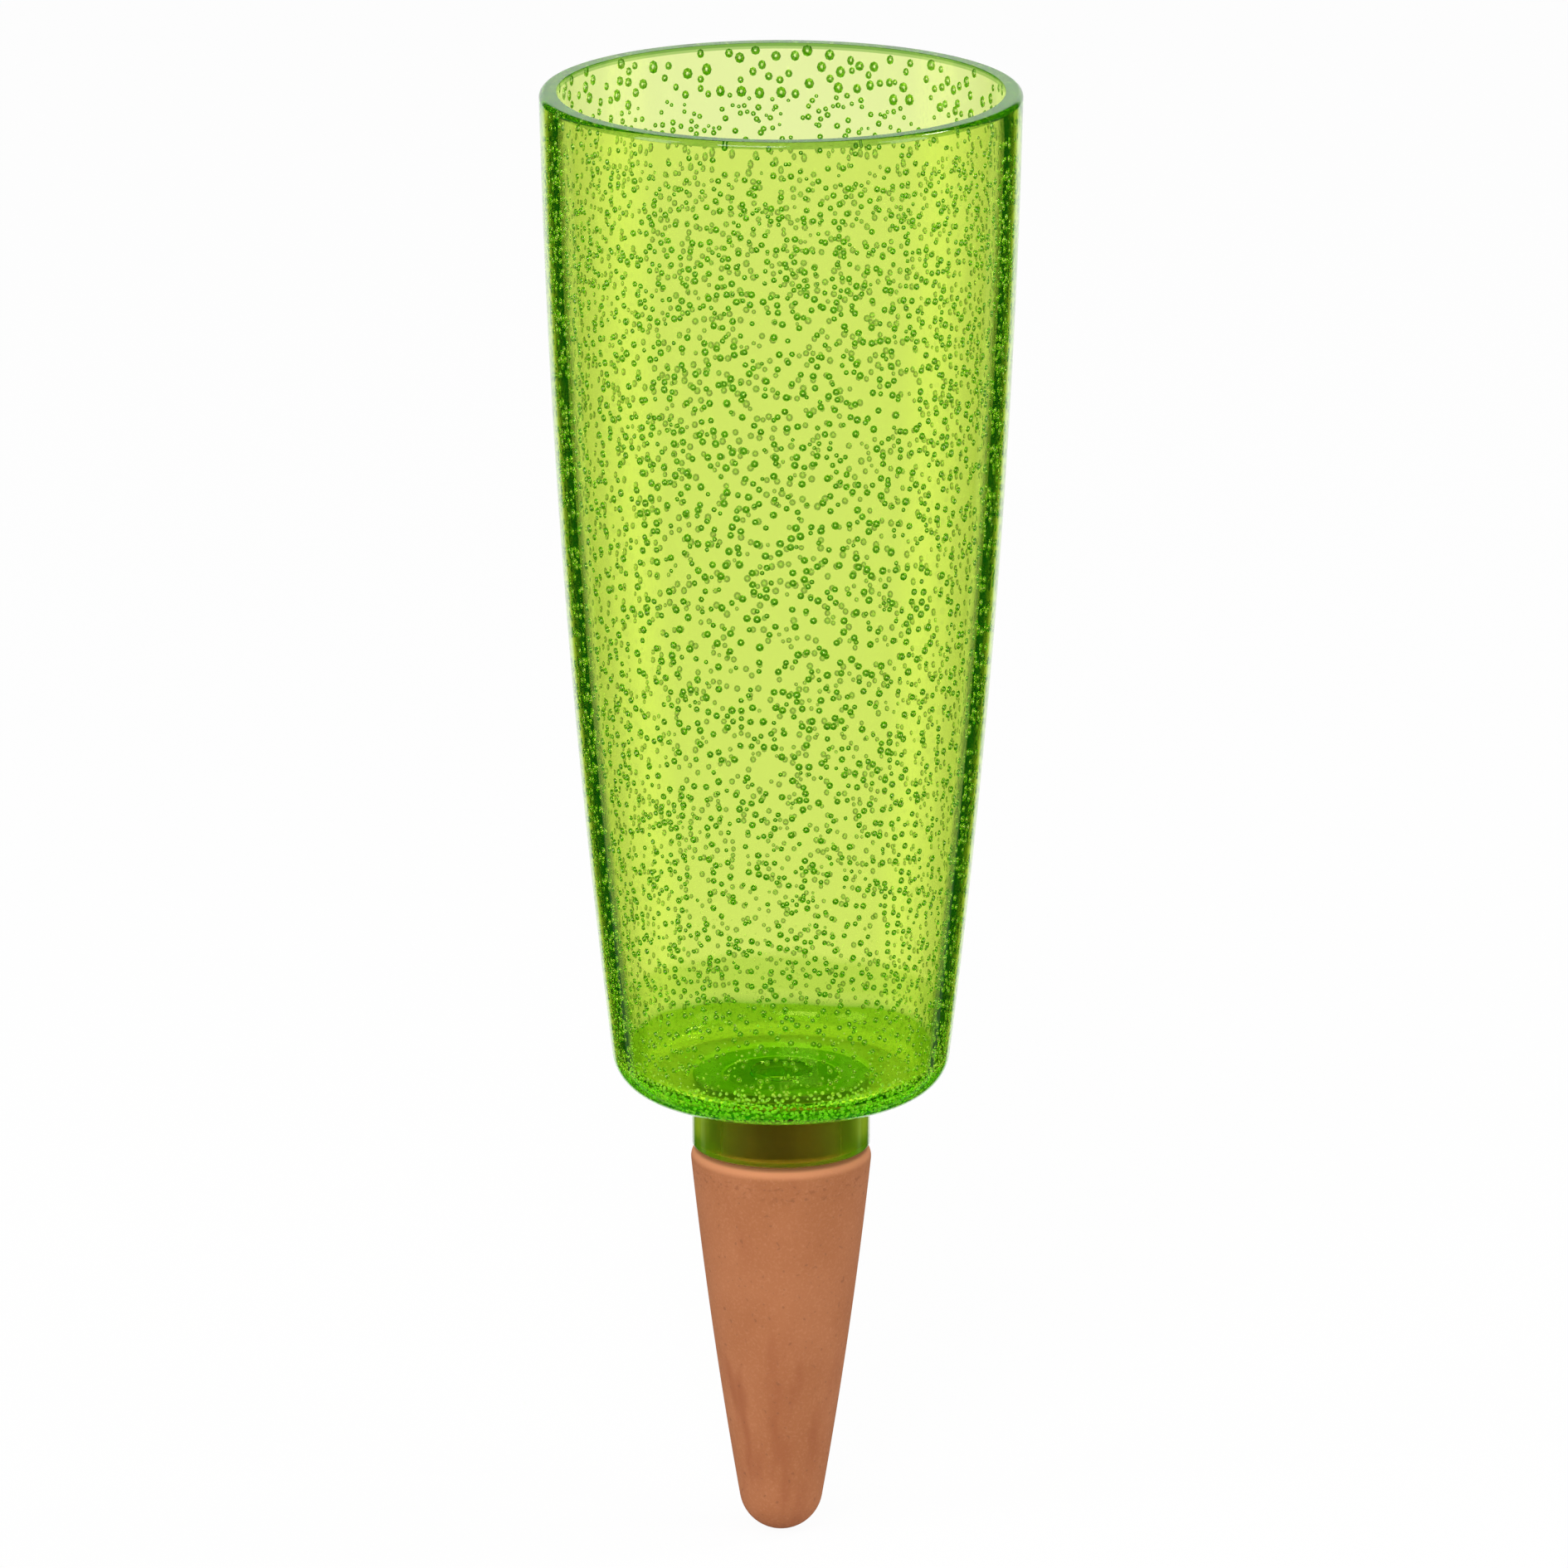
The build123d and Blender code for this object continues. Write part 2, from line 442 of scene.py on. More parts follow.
def tapered_run(top_level, top_radius, dome_radius, flank_count, dome_count):
    """Points down a flank that bends onto a dome; all domes share one centre."""
    centre = (0.0, CONE_LOW.z + TIP_RADIUS)
    foot = (dome_radius * math.cos(FLANK_SLOPE), centre[1] - dome_radius * math.sin(FLANK_SLOPE))
    rise = top_level - foot[1]
    chord_slope = math.atan2(top_radius - foot[0], rise)
    chord = math.hypot(top_radius - foot[0], rise)
    turn = FLANK_SLOPE - chord_slope
    bend = chord / (2 * math.sin(turn))
    bend_centre = (foot[0] - bend * math.cos(FLANK_SLOPE), foot[1] + bend * math.sin(FLANK_SLOPE))
    start = -FLANK_SLOPE + 2 * turn
    flank = arc(bend_centre, bend, start, -FLANK_SLOPE, flank_count)
    dome = arc(centre, dome_radius, -FLANK_SLOPE, -RIGHT_ANGLE, dome_count)
    return flank + dome[1:]


def clay_section():
    """Half section of the clay cone, from the top of its spigot round the tip and up the hollow."""
    top = -SEAT_GAP
    flank = tapered_run(top, SHOULDER_RADIUS, TIP_RADIUS, FLANK_POINTS, DOME_POINTS)
    # The lip rounding meets the flat shoulder and the flank, a little below the sharp corner
    lean = math.atan2(flank[0][0] - flank[1][0], flank[0][1] - flank[1][1])
    reach = LIP_ROUNDING * math.tan((RIGHT_ANGLE + lean) / 2)
    lip_centre = (SHOULDER_RADIUS - reach, top - LIP_ROUNDING)
    lip = arc(lip_centre, LIP_ROUNDING, RIGHT_ANGLE, -lean, LIP_POINTS)
    flank = [p for p in flank if p[1] < lip[-1][1] - LIP_CLEARANCE]
    spigot_top = CONE_HIGH.z - SEAT_GAP
    points = [(WATER_BORE, spigot_top), (SPIGOT_RADIUS - SPIGOT_EDGE, spigot_top)]
    points += [(SPIGOT_RADIUS, spigot_top - SPIGOT_EDGE), (SPIGOT_RADIUS, top)]
    points += lip + flank
    hollow_radius = SHOULDER_RADIUS - SHOULDER_THICKNESS * math.sin(FLANK_SLOPE) - CLAY_WALL
    hollow = tapered_run(-SHOULDER_THICKNESS, hollow_radius, TIP_RADIUS - CLAY_WALL,
                         HOLLOW_FLANK_POINTS, HOLLOW_DOME_POINTS)
    points += hollow[::-1] + [(WATER_BORE, -SHOULDER_THICKNESS)]
    return points


def take_model(ball):
    """Corners on a ball of radius one and the faces between them, taken from a finished object."""
    corners = np.array([v.co for v in ball.data.vertices])
    corners /= np.linalg.norm(corners, axis=1)[:, None]
    faces = [tuple(p.vertices) for p in ball.data.polygons]
    bpy.data.objects.remove(ball)
    return corners, faces


def bubble_model():
    """A divided cube cast round."""
    deselect()
    bpy.ops.mesh.primitive_cube_add(size=2, location=(0, 0, 0))
    bpy.ops.object.mode_set(mode="EDIT")
    bpy.ops.mesh.select_all(action="SELECT")
    bpy.ops.mesh.subdivide(number_cuts=1)
    bpy.ops.object.mode_set(mode="OBJECT")
    cast = bpy.context.object.modifiers.new("ball", "CAST")
    cast.factor = 1.0
    bpy.ops.object.modifier_apply(modifier="ball")
    return take_model(bpy.context.object)


def seed_model():
    """A plain icosahedron, for the finest bubbles."""
    deselect()
    bpy.ops.mesh.primitive_ico_sphere_add(subdivisions=1, radius=1, location=(0, 0, 0))
    return take_model(bpy.context.object)


class BubbleField:
    """Bubbles that are kept apart from each other by a grid of cells."""

    def __init__(self, seed):
        self.random = random.Random(seed)
        self.cells = {}
        self.placed = []

    def fits(self, centre, reach):
        """Whether a bubble clears its neighbours; one that does takes its place in the grid."""
        x, y, z = (int(math.floor(c / BUBBLE_CELL)) for c in centre)
        near = (-1, 0, 1)
        for cell in ((x + dx, y + dy, z + dz) for dx in near for dy in near for dz in near):
            for other, other_reach in self.cells.get(cell, ()):
                if math.dist(other, centre) < other_reach + reach + BUBBLE_GAP:
                    return False
        self.cells.setdefault((x, y, z), []).append((centre, reach))
        return True

    def add(self, radius, turn, level, size, stretch=1.0):
        """Place a bubble by its distance and turn about the axis, if there is room."""
        centre = (radius * math.cos(turn), radius * math.sin(turn), level)
        if self.fits(centre, size * stretch):
            self.placed.append((centre, size, stretch))


def wall_height(level):
    """Height of a level between the floor and the rim, from zero to one."""
    return (level - FLOOR_LEVEL) / (RIM_LEVEL - FLOOR_LEVEL)


def wall_share(level):
    """Bubbles per square metre of wall at a level."""
    return float(np.interp(wall_height(level), BUBBLE_HEIGHTS, BUBBLE_SHARES)) / MM**2


def bubble_size(rand, level, turn):
    """Radius and upward stretch of a bubble in the wall."""
    largest = float(np.interp(wall_height(level), BUBBLE_HEIGHTS, BUBBLE_RADII))
    stretch = 1.0 + BUBBLE_STRETCH * rand.random()
    if level > LARGE_LEVEL and math.sin(turn) > LARGE_SIDE:
        largest = LARGE_RADIUS
        stretch += LARGE_STRETCH * rand.random()
    share = BUBBLE_SMALLEST + (1 - BUBBLE_SMALLEST) * rand.random() ** BUBBLE_BIAS
    return largest * MM * share, stretch


def fill_wall(field):
    """The wall, band by band, with bubbles at every depth between its two skins."""
    rand = field.random
    level = FLOOR_LEVEL + INNER_BASE_ROUNDING
    while level < WALL_BANDS_END:
        height = min(WALL_BAND, RIM_LEVEL - RIM_ROUNDING - level)
        area = FULL_TURN * WALL.at(level, CUP_WALL / 2) * height
        for _ in range(int(area * wall_share(level))):
            z = level + rand.random() * height
            turn = rand.random() * FULL_TURN
            size, stretch = bubble_size(rand, z, turn)
            if z + size * stretch + BUBBLE_SKIN > RIM_LEVEL:
                continue
            skin = BUBBLE_SKIN + size
            depth = skin + (CUP_WALL - 2 * skin) * rand.random()
            field.add(WALL.at(z, depth), turn, z, size, stretch)
        level += WALL_BAND


def fill_heel(field):
    """The heel of the cup, where the wall turns into the floor, is the densest part."""
    rand = field.random
    heel, _ = WALL.heel()
    inner, _ = WALL.inner_heel()
    for _ in range(HEEL_SEEDS):
        size = rand.uniform(*HEEL_SEED_RADII)
        skin = BUBBLE_SKIN + size
        lean = -rand.random() * RIGHT_ANGLE
        reach = rand.uniform(BASE_ROUNDING - CUP_WALL + skin, BASE_ROUNDING - skin)
        r = heel[0] + reach * math.cos(lean)
        z = heel[1] + reach * math.sin(lean)
        glass = math.hypot(r - inner[0], z - inner[1]) - INNER_BASE_ROUNDING
        if z > inner[1] or glass < skin:
            continue
        field.add(r, rand.random() * FULL_TURN, z, size)


def fill_floor(field):
    """The floor, from the outlet to the inner corner."""
    rand = field.random
    inner, _ = WALL.inner_heel()
    for _ in range(FLOOR_SEEDS):
        size = rand.uniform(*FLOOR_SEED_RADII)
        skin = BUBBLE_SKIN + size
        r = math.sqrt(rand.uniform((OUTLET_RADIUS + skin) ** 2, inner[0] ** 2))
        z = CUP_BOTTOM + rand.uniform(skin, CUP_FLOOR - skin)
        field.add(r, rand.random() * FULL_TURN, z, size)


def fill_low_wall(field):
    """Fine bubbles that thin out up the wall above the heel."""
    rand = field.random
    for _ in range(LOW_WALL_SEEDS):
        size = rand.uniform(*LOW_WALL_SEED_RADII)
        skin = BUBBLE_SKIN + size
        z = FLOOR_LEVEL + INNER_BASE_ROUNDING + LOW_WALL_REACH * rand.random() ** LOW_WALL_BIAS
        depth = rand.uniform(skin, CUP_WALL - skin)
        field.add(WALL.at(z, depth), rand.random() * FULL_TURN, z, size)


def bubble_piece(name, bubbles, model):
    """Join copies of a model, one for each bubble, into one piece."""
    corners, faces = model
    count = len(corners)
    points = np.empty((len(bubbles) * count, 3))
    for i, (centre, size, stretch) in enumerate(bubbles):
        points[i * count:(i + 1) * count] = corners * (size, size, size * stretch) + centre
    all_faces = [tuple(v + i * count for v in face) for i in range(len(bubbles)) for face in faces]
    mesh = bpy.data.meshes.new(name)
    mesh.from_pydata(points.tolist(), [], all_faces)
    mesh.update()
    piece = bpy.data.objects.new(name, mesh)
    bpy.context.scene.collection.objects.link(piece)
    deselect()
    piece.select_set(True)
    bpy.context.view_layer.objects.active = piece
    bpy.ops.object.shade_smooth()
    return piece


class Wiring:
    """The nodes of a material, world or group, with a short call for each kind that is used."""

    def __init__(self, tree):
        self.nodes = tree.nodes
        self.links = tree.links

    def feed(self, socket, value):
        """Link a socket to another, or set a plain value on it."""
        if isinstance(value, bpy.types.NodeSocket):
            self.links.new(value, socket)
        else:
            socket.default_value = value

    def math(self, operation, first, second=0.0):
        node = self.nodes.new("ShaderNodeMath")
        node.operation = operation
        self.feed(node.inputs[0], first)
        self.feed(node.inputs[1], second)
        return node.outputs["Value"]

    def times(self, mask, *others):
        """A mask times other masks or plain numbers."""
        for other in others:
            mask = self.math("MULTIPLY", mask, other)
        return mask

    def rest(self, mask):
        """What a mask leaves out."""
        return self.math("SUBTRACT", 1.0, mask)

    def blend(self, share, first, second):
        """A colour between two others."""
        node = self.nodes.new("ShaderNodeMix")
        node.data_type = "RGBA"
        self.feed(node.inputs[MIX_SHARE], share)
        self.feed(node.inputs[MIX_FIRST], first)
        self.feed(node.inputs[MIX_SECOND], second)
        return node.outputs[MIX_RESULT]

    def between(self, value, limits):
        """A value spread from zero to one between two limits, and held there outside them."""
        node = self.nodes.new("ShaderNodeMapRange")
        node.interpolation_type = "SMOOTHSTEP"
        self.feed(node.inputs["Value"], value)
        self.feed(node.inputs["From Min"], limits[0])
        self.feed(node.inputs["From Max"], limits[1])
        return node.outputs["Result"]

    def above_floor(self, level, stops):
        """A mask that runs through stops, each a height above the cup's floor and a share."""
        top = stops[-1][0]
        spread = self.nodes.new("ShaderNodeMapRange")
        self.feed(spread.inputs["Value"], level)
        self.feed(spread.inputs["From Min"], FLOOR_LEVEL)
        self.feed(spread.inputs["From Max"], FLOOR_LEVEL + top * MM)
        ramp = self.nodes.new("ShaderNodeValToRGB")
        self.feed(ramp.inputs["Fac"], spread.outputs["Result"])
        marks = ramp.color_ramp.elements
        while len(marks) < len(stops):
            marks.new(0.5)
        for mark, (height, share) in zip(marks, stops):
            mark.position = height / top
            mark.color = (share, share, share, 1)
        return ramp.outputs["Color"]

    def place(self):
        """Object coordinates."""
        return self.nodes.new("ShaderNodeTexCoord").outputs["Object"]

    def parts(self, vector):
        """The X, Y and Z of a vector."""
        node = self.nodes.new("ShaderNodeSeparateXYZ")
        self.feed(node.inputs["Vector"], vector)
        return node.outputs["X"], node.outputs["Y"], node.outputs["Z"]

    def axis_distance(self, place):
        """Distance from the axis."""
        flat = self.nodes.new("ShaderNodeVectorMath")
        flat.operation = "MULTIPLY"
        self.feed(flat.inputs[0], place)
        self.feed(flat.inputs[1], (1, 1, 0))
        length = self.nodes.new("ShaderNodeVectorMath")
        length.operation = "LENGTH"
        self.feed(length.inputs[0], flat.outputs["Vector"])
        return length.outputs["Value"]

    def noise(self, place, pattern):
        """A pattern's noise, drawn out along an axis where its stretch is below one."""
        spread = self.nodes.new("ShaderNodeMapping")
        self.feed(spread.inputs["Vector"], place)
        self.feed(spread.inputs["Scale"], pattern.stretch)
        node = self.nodes.new("ShaderNodeTexNoise")
        self.feed(node.inputs["Vector"], spread.outputs["Vector"])
        self.feed(node.inputs["Scale"], pattern.scale)
        self.feed(node.inputs["Detail"], pattern.detail)
        return node.outputs["Fac"]

    def marks(self, place, pattern):
        """A mask of the marks that a pattern makes."""
        return self.between(self.noise(place, pattern), pattern.limits)

    def clouds(self, place, pattern):
        """A mask of the shared soft clouds."""
        node = self.nodes.new("ShaderNodeGroup")
        node.node_tree = bpy.data.node_groups.get("mottle") or mottle_group()
        self.feed(node.inputs["Place"], place)
        self.feed(node.inputs["Scale"], pattern.scale)
        self.feed(node.inputs["Detail"], pattern.detail)
        return node.outputs["Mask"]

    def relief(self, height, strength, distance):
        """A normal that is raised where a height is high."""
        bump = self.nodes.new("ShaderNodeBump")
        self.feed(bump.inputs["Height"], height)
        self.feed(bump.inputs["Strength"], strength)
        self.feed(bump.inputs["Distance"], distance)
        return bump.outputs["Normal"]

    def light_path(self):
        return self.nodes.new("ShaderNodeLightPath").outputs


class Finish(Wiring):
    """A new material with its Principled shader."""

    def __init__(self, name):
        self.material = bpy.data.materials.new(name)
        self.material.use_nodes = True
        super().__init__(self.material.node_tree)
        self.shader = self.nodes["Principled BSDF"]
        self.output = self.nodes["Material Output"]

    def set(self, name, value):
        """Set one of the shader's own sockets, or link it."""
        self.feed(self.shader.inputs[name], value)


def mottle_group():
    """The soft clouds that several materials share, as a mask from zero to one."""
    group = bpy.data.node_groups.new("mottle", "ShaderNodeTree")
    group.interface.new_socket("Place", in_out="INPUT", socket_type="NodeSocketVector")
    group.interface.new_socket("Scale", in_out="INPUT", socket_type="NodeSocketFloat")
    group.interface.new_socket("Detail", in_out="INPUT", socket_type="NodeSocketFloat")
    group.interface.new_socket("Mask", in_out="OUTPUT", socket_type="NodeSocketFloat")
    wiring = Wiring(group)
    start = group.nodes.new("NodeGroupInput")
    cloud = group.nodes.new("ShaderNodeTexNoise")
    wiring.feed(cloud.inputs["Vector"], start.outputs["Place"])
    wiring.feed(cloud.inputs["Scale"], start.outputs["Scale"])
    wiring.feed(cloud.inputs["Detail"], start.outputs["Detail"])
    end = group.nodes.new("NodeGroupOutput")
    wiring.feed(end.inputs["Mask"], wiring.between(cloud.outputs["Fac"], CLOUD_LIMITS))
    return group


def green_glass(name, density):
    """Clear glass whose green comes from its thickness."""
    glass = Finish(name)
    glass.set("Base Color", WHITE)
    glass.set("Transmission Weight", 1.0)
    glass.set("IOR", GLASS_IOR)
    glass.set("Roughness", 0.0)
    absorb = glass.nodes.new("ShaderNodeVolumeAbsorption")
    glass.feed(absorb.inputs["Color"], GLASS_GREEN)
    glass.feed(absorb.inputs["Density"], density)
    glass.feed(glass.output.inputs["Volume"], absorb.outputs["Volume"])
    return glass


def heel_painted_shade(glass, place, level, radius, entering):
    """Painted shade low on the cup, where a ray enters the glass; the heel's upper edge wanders."""
    wave = glass.math("SUBTRACT", glass.noise(place, HEEL_WAVES), NOISE_MIDDLE)
    wavy = glass.math("ADD", level, glass.times(wave, HEEL_WAVE))
    rise = glass.math("SUBTRACT", level, FLOOR_LEVEL)
    upright = glass.math("SUBTRACT", radius, glass.times(rise, HEEL_FLARE))
    inner = glass.math("LESS_THAN", upright, HEEL_REACH)
    inner = glass.times(inner, glass.math("GREATER_THAN", rise, -FLOOR_SKIN), entering)
    heel = glass.times(glass.above_floor(wavy, HEEL_STOPS), inner)
    band = glass.times(glass.above_floor(wavy, BAND_STOPS), inner)
    # Over the seal and the collar the floor keeps more of its light: lighter painted shade
    tint = glass.blend(glass.between(radius, OVER_SEAL), FLOOR_SHADE_OVER_SEAL, FLOOR_SHADE_OVER_COLLAR)
    tint = glass.blend(glass.between(radius, OVER_COLLAR), tint, FLOOR_SHADE)
    tint = glass.blend(glass.between(rise, FLOOR_TO_HEEL), tint, HEEL_SHADE)
    colour = glass.blend(heel, WHITE, tint)
    # A band above the heel gets a painted reflection of the heel
    colour = glass.blend(band, colour, BAND_REFLECTION)
    # The heel's outer face gets painted shade too
    outside = glass.math("GREATER_THAN", upright, HEEL_REACH)
    outer = glass.times(glass.between(level, OUTER_HEEL), outside, entering)
    return glass.blend(outer, colour, OUTER_HEEL_SHADE)


def short_chord(glass, level, side):
    """A mask of rays that cross the hollow on a short chord, and so meet the wall edge on."""
    path = glass.light_path()
    entering = glass.math("SUBTRACT", path["Is Transmission Ray"], side)
    entering = glass.math("MAXIMUM", entering, 0.0)
    chord = glass.between(path["Ray Length"], SHORT_CHORD)
    return glass.times(chord, entering, glass.between(level, EDGE_LEVELS))


def cup_glass():
    """The cup's glass: matt underneath, painted shade in the heel and where the wall is edge on."""
    glass = green_glass("bubble_glass", CUP_DENSITY)
    place = glass.place()
    _, _, level = glass.parts(place)
    radius = glass.axis_distance(place)
    side = glass.nodes.new("ShaderNodeNewGeometry").outputs["Backfacing"]
    land = glass.between(level, RIM_LAND)
    matt = glass.times(glass.between(radius, OVER_COLLAR), OPEN_UNDERSIDE_MATT)
    matt = glass.math("ADD", matt, UNDERSIDE_MATT)
    matt = glass.times(matt, glass.between(level, CUP_UNDERSIDE))
    glass.set("Roughness", glass.math("MAXIMUM", matt, glass.times(land, LAND_MATT)))
    colour = heel_painted_shade(glass, place, level, radius, glass.rest(side))
    # The rim's slope and land get painted shade
    slope = glass.math("SUBTRACT", glass.between(level, RIM_SLOPE), land)
    colour = glass.blend(slope, colour, RIM_SHADE)
    colour = glass.blend(land, colour, LAND_SHADE)
    # Rays that meet the wall edge on get painted shade
    glass.set("Base Color", glass.blend(short_chord(glass, level, side), colour, EDGE_SHADE))
    return glass.material


def collar_glass():
    """The collar's glass: drawn in faint upright streaks, matt in its socket and underneath."""
    glass = green_glass("collar_glass", COLLAR_DENSITY)
    place = glass.place()
    _, _, level = glass.parts(place)
    under = glass.times(glass.between(level, COLLAR_UNDERSIDE), COLLAR_UNDERSIDE_MATT)
    socket = glass.times(glass.between(glass.axis_distance(place), SOCKET_SKIN), SOCKET_MATT)
    glass.set("Roughness", glass.math("MAXIMUM", under, socket))
    streaks = glass.noise(place, COLLAR_STREAKS)
    glass.set("Normal", glass.relief(streaks, STREAK_STRENGTH, STREAK_DEPTH))
    return glass.material


def bond_film():
    """The pale cured film on top of the collar, where the cup sits."""
    film = Finish("bond_film")
    colour = film.blend(film.clouds(film.place(), FILM_CLOUDS), FILM_DEEP, FILM_PALE)
    film.set("Base Color", colour)
    # A faint glow stands in for the light that the collar guides up into the film
    film.set("Emission Color", colour)
    film.set("Emission Strength", FILM_GLOW)
    film.set("Roughness", FILM_MATT)
    return film.material


def seen_through(air):
    """A mask of what is seen through the near wall."""
    return air.math("GREATER_THAN", air.light_path()["Transmission Depth"], THRICE)


def bubble_air():
    """The skin of a bubble seen from inside the glass; through the near wall it looks faint."""
    air = Finish("bubble_air")
    far = seen_through(air)
    air.set("Base Color", air.blend(far, WHITE, FAR_TINT))
    air.set("Alpha", air.rest(air.times(far, FAR_FAINTNESS)))
    air.set("Transmission Weight", 1.0)
    air.set("IOR", BUBBLE_RATIO)
    air.set("Roughness", 0.0)
    return air.material


def seed_air():
    """The finest bubbles, as pale dots whose colour is a painted glint."""
    air = Finish("seed_air")
    # The pale green is a painted glint
    air.set("Base Color", air.blend(air.clouds(air.place(), SEED_CLOUDS), SEED_GLINT_DEEP, SEED_GLINT_PALE))
    air.set("Alpha", air.rest(air.times(seen_through(air), SEED_FAINTNESS)))
    air.set("Transmission Weight", SEED_CLEARNESS)
    air.set("IOR", 1 / GLASS_IOR)
    air.set("Roughness", 0.0)
    return air.material


def terracotta():
    """Fired clay: mottled, grainy, dark specks, faint smudges; painted shade on the hidden spigot.
    """
    clay = Finish("terracotta")
    place = clay.place()
    _, _, level = clay.parts(place)
    colour = clay.blend(clay.clouds(place, CLAY_CLOUDS), CLAY_DEEP, CLAY_PALE)
    grain = clay.noise(place, CLAY_GRAIN)
    pale = clay.times(clay.between(grain, CLAY_GRAIN.limits), GRAIN_STRENGTH)
    colour = clay.blend(pale, colour, GRAIN_COLOUR)
    # Handling marks run down the lower half, and fine pits gather under the lip
    low = clay.times(clay.between(level, SMUDGE_LEVELS), SMUDGE_LOW)
    smudge = clay.times(clay.marks(place, CLAY_SMUDGES), clay.math("ADD", low, SMUDGE_ALL))
    colour = clay.blend(smudge, colour, SMUDGE_COLOUR)
    specks = clay.times(clay.marks(place, CLAY_SPECKS), SPECK_STRENGTH)
    colour = clay.blend(specks, colour, SPECK_COLOUR)
    under_lip = clay.times(clay.between(level, PIT_BOTTOM), clay.between(level, PIT_TOP))
    pits = clay.times(clay.marks(place, CLAY_PITS), under_lip, PIT_STRENGTH)
    colour = clay.blend(pits, colour, PIT_COLOUR)
    # Painted highlight on the lip, painted shade in the crevice and on the spigot above
    lip = clay.times(clay.between(level, LIP_HIGHLIGHT_LEVELS), LIP_HIGHLIGHT_STRENGTH)
    colour = clay.blend(lip, colour, LIP_HIGHLIGHT)
    # Painted shade in the crevice under the collar
    painted_crevice_shade = clay.between(clay.axis_distance(place), CREVICE_RADII)
    painted_crevice_shade = clay.times(painted_crevice_shade, clay.between(level, CREVICE_LEVELS), CREVICE_SHADE_STRENGTH)
    colour = clay.blend(painted_crevice_shade, colour, CREVICE_SHADE)
    # The spigot is painted dark as shade inside the collar, with paler streaks of painted light
    painted_spigot_shade = clay.times(clay.between(level, SPIGOT_SHADE_LEVELS), SPIGOT_SHADE_STRENGTH)
    shaded_spigot_colour = clay.blend(clay.marks(place, SPIGOT_LIGHT_STREAKS), SPIGOT_SHADE_DEEP, SPIGOT_SHADE_PALE)
    clay.set("Base Color", clay.blend(painted_spigot_shade, colour, shaded_spigot_colour))
    clay.set("Roughness", CLAY_MATT)
    clay.set("Specular IOR Level", CLAY_SHEEN)
    clay.set("Normal", clay.relief(grain, GRAIN_RELIEF, GRAIN_DEPTH))
    return clay.material


def silicone():
    """Cloudy silicone."""
    soft = Finish("seal_silicone")
    clouds = soft.clouds(soft.place(), SILICONE_CLOUDS)
    soft.set("Base Color", soft.blend(clouds, SILICONE_DEEP, SILICONE_PALE))
    soft.set("Roughness", SILICONE_MATT)
    return soft.material


def dress(piece, material, body, slot, *nodes):
    """Give a piece its material and its body and hide the solids that it stands for; slot is not
    used.
    """
    piece.data.materials.clear()
    piece.data.materials.append(material)
    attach(piece, body)
    if nodes:
        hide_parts(*nodes)


def build_cup():
    cup = lathe("glass_cup", cup_section(), GLASS_STEPS)
    dress(cup, cup_glass(), "cup", "bubble_glass", "reservoir_cup")


def build_collar():
    """The collar, with the bond film on its top face."""
    collar = lathe("glass_collar", collar_section(), GLASS_STEPS)
    dress(collar, collar_glass(), "cup", "collar_glass", "neck_collar")
    collar.data.materials.append(bond_film())
    for face in collar.data.polygons:
        if face.center.z > COLLAR_HIGH.z - 2 * BOND_GAP:
            face.material_index = 1


def build_seal():
    seal = lathe("silicone_seal", seal_section(), SEAL_STEPS)
    dress(seal, silicone(), "seal", "seal_rubber", "seal_washer")


def build_cone():
    cone = lathe("terracotta_cone", clay_section(), CLAY_STEPS)
    dress(cone, terracotta(), "cone", "terracotta", "clay_cone")


def build_bubbles():
    """The wall's bubbles in lots by height, and the fine ones in a lot of their own."""
    field = BubbleField(BUBBLE_SEED)
    fill_wall(field)
    model = bubble_model()
    air = bubble_air()
    height = (RIM_LEVEL - CUP_BOTTOM) / len(BUBBLE_LOTS)
    for i, name in enumerate(BUBBLE_LOTS):
        low = CUP_BOTTOM + i * height
        lot = [b for b in field.placed if low <= b[0][2] < low + height]
        dress(bubble_piece(name, lot, model), air, "cup", "bubble_glass")
    field.placed = []
    fill_heel(field)
    fill_floor(field)
    fill_low_wall(field)
    seeds = bubble_piece("bubble_seeds", field.placed, seed_model())
    dress(seeds, seed_air(), "cup", "bubble_glass")


class Rays:
    """Masks of the ways in which a ray reaches the studio."""

    def __init__(self, wiring):
        path = wiring.light_path()
        bent = path["Is Transmission Ray"]
        self.straight = wiring.math("MAXIMUM", path["Is Camera Ray"], bent)
        # A ray bent by smooth glass counts as glossy too, so those are taken out
        mirrored = wiring.math("SUBTRACT", path["Is Glossy Ray"], bent)
        self.mirrored = wiring.math("MAXIMUM", mirrored, 0.0)
        # Light that a matt surface gathers comes from the plain bright studio
        clear = wiring.math("LESS_THAN", path["Diffuse Depth"], ONCE)
        once = wiring.math("GREATER_THAN", path["Glossy Depth"], ONCE)
        self.turned = wiring.times(once, bent, clear)
        self.guided = wiring.math("GREATER_THAN", path["Glossy Depth"], TWICE)


def mirrored_room(wiring, side, ahead, above):
    """What the outside of the glass mirrors: the backdrop behind, and a strip light at each side."""
    low = wiring.between(above, BACKDROP_TOP)
    behind = wiring.times(wiring.between(ahead, BACKDROP_MIRRORED), low)
    strip = wiring.times(wiring.between(side, STRIP_FROM), wiring.between(side, STRIP_TO))
    strip = wiring.times(strip, wiring.between(ahead, STRIP_BACK))
    room = wiring.blend(behind, STUDIO_MIRRORED, WHITE)
    return wiring.blend(strip, room, STRIP_LIGHT)


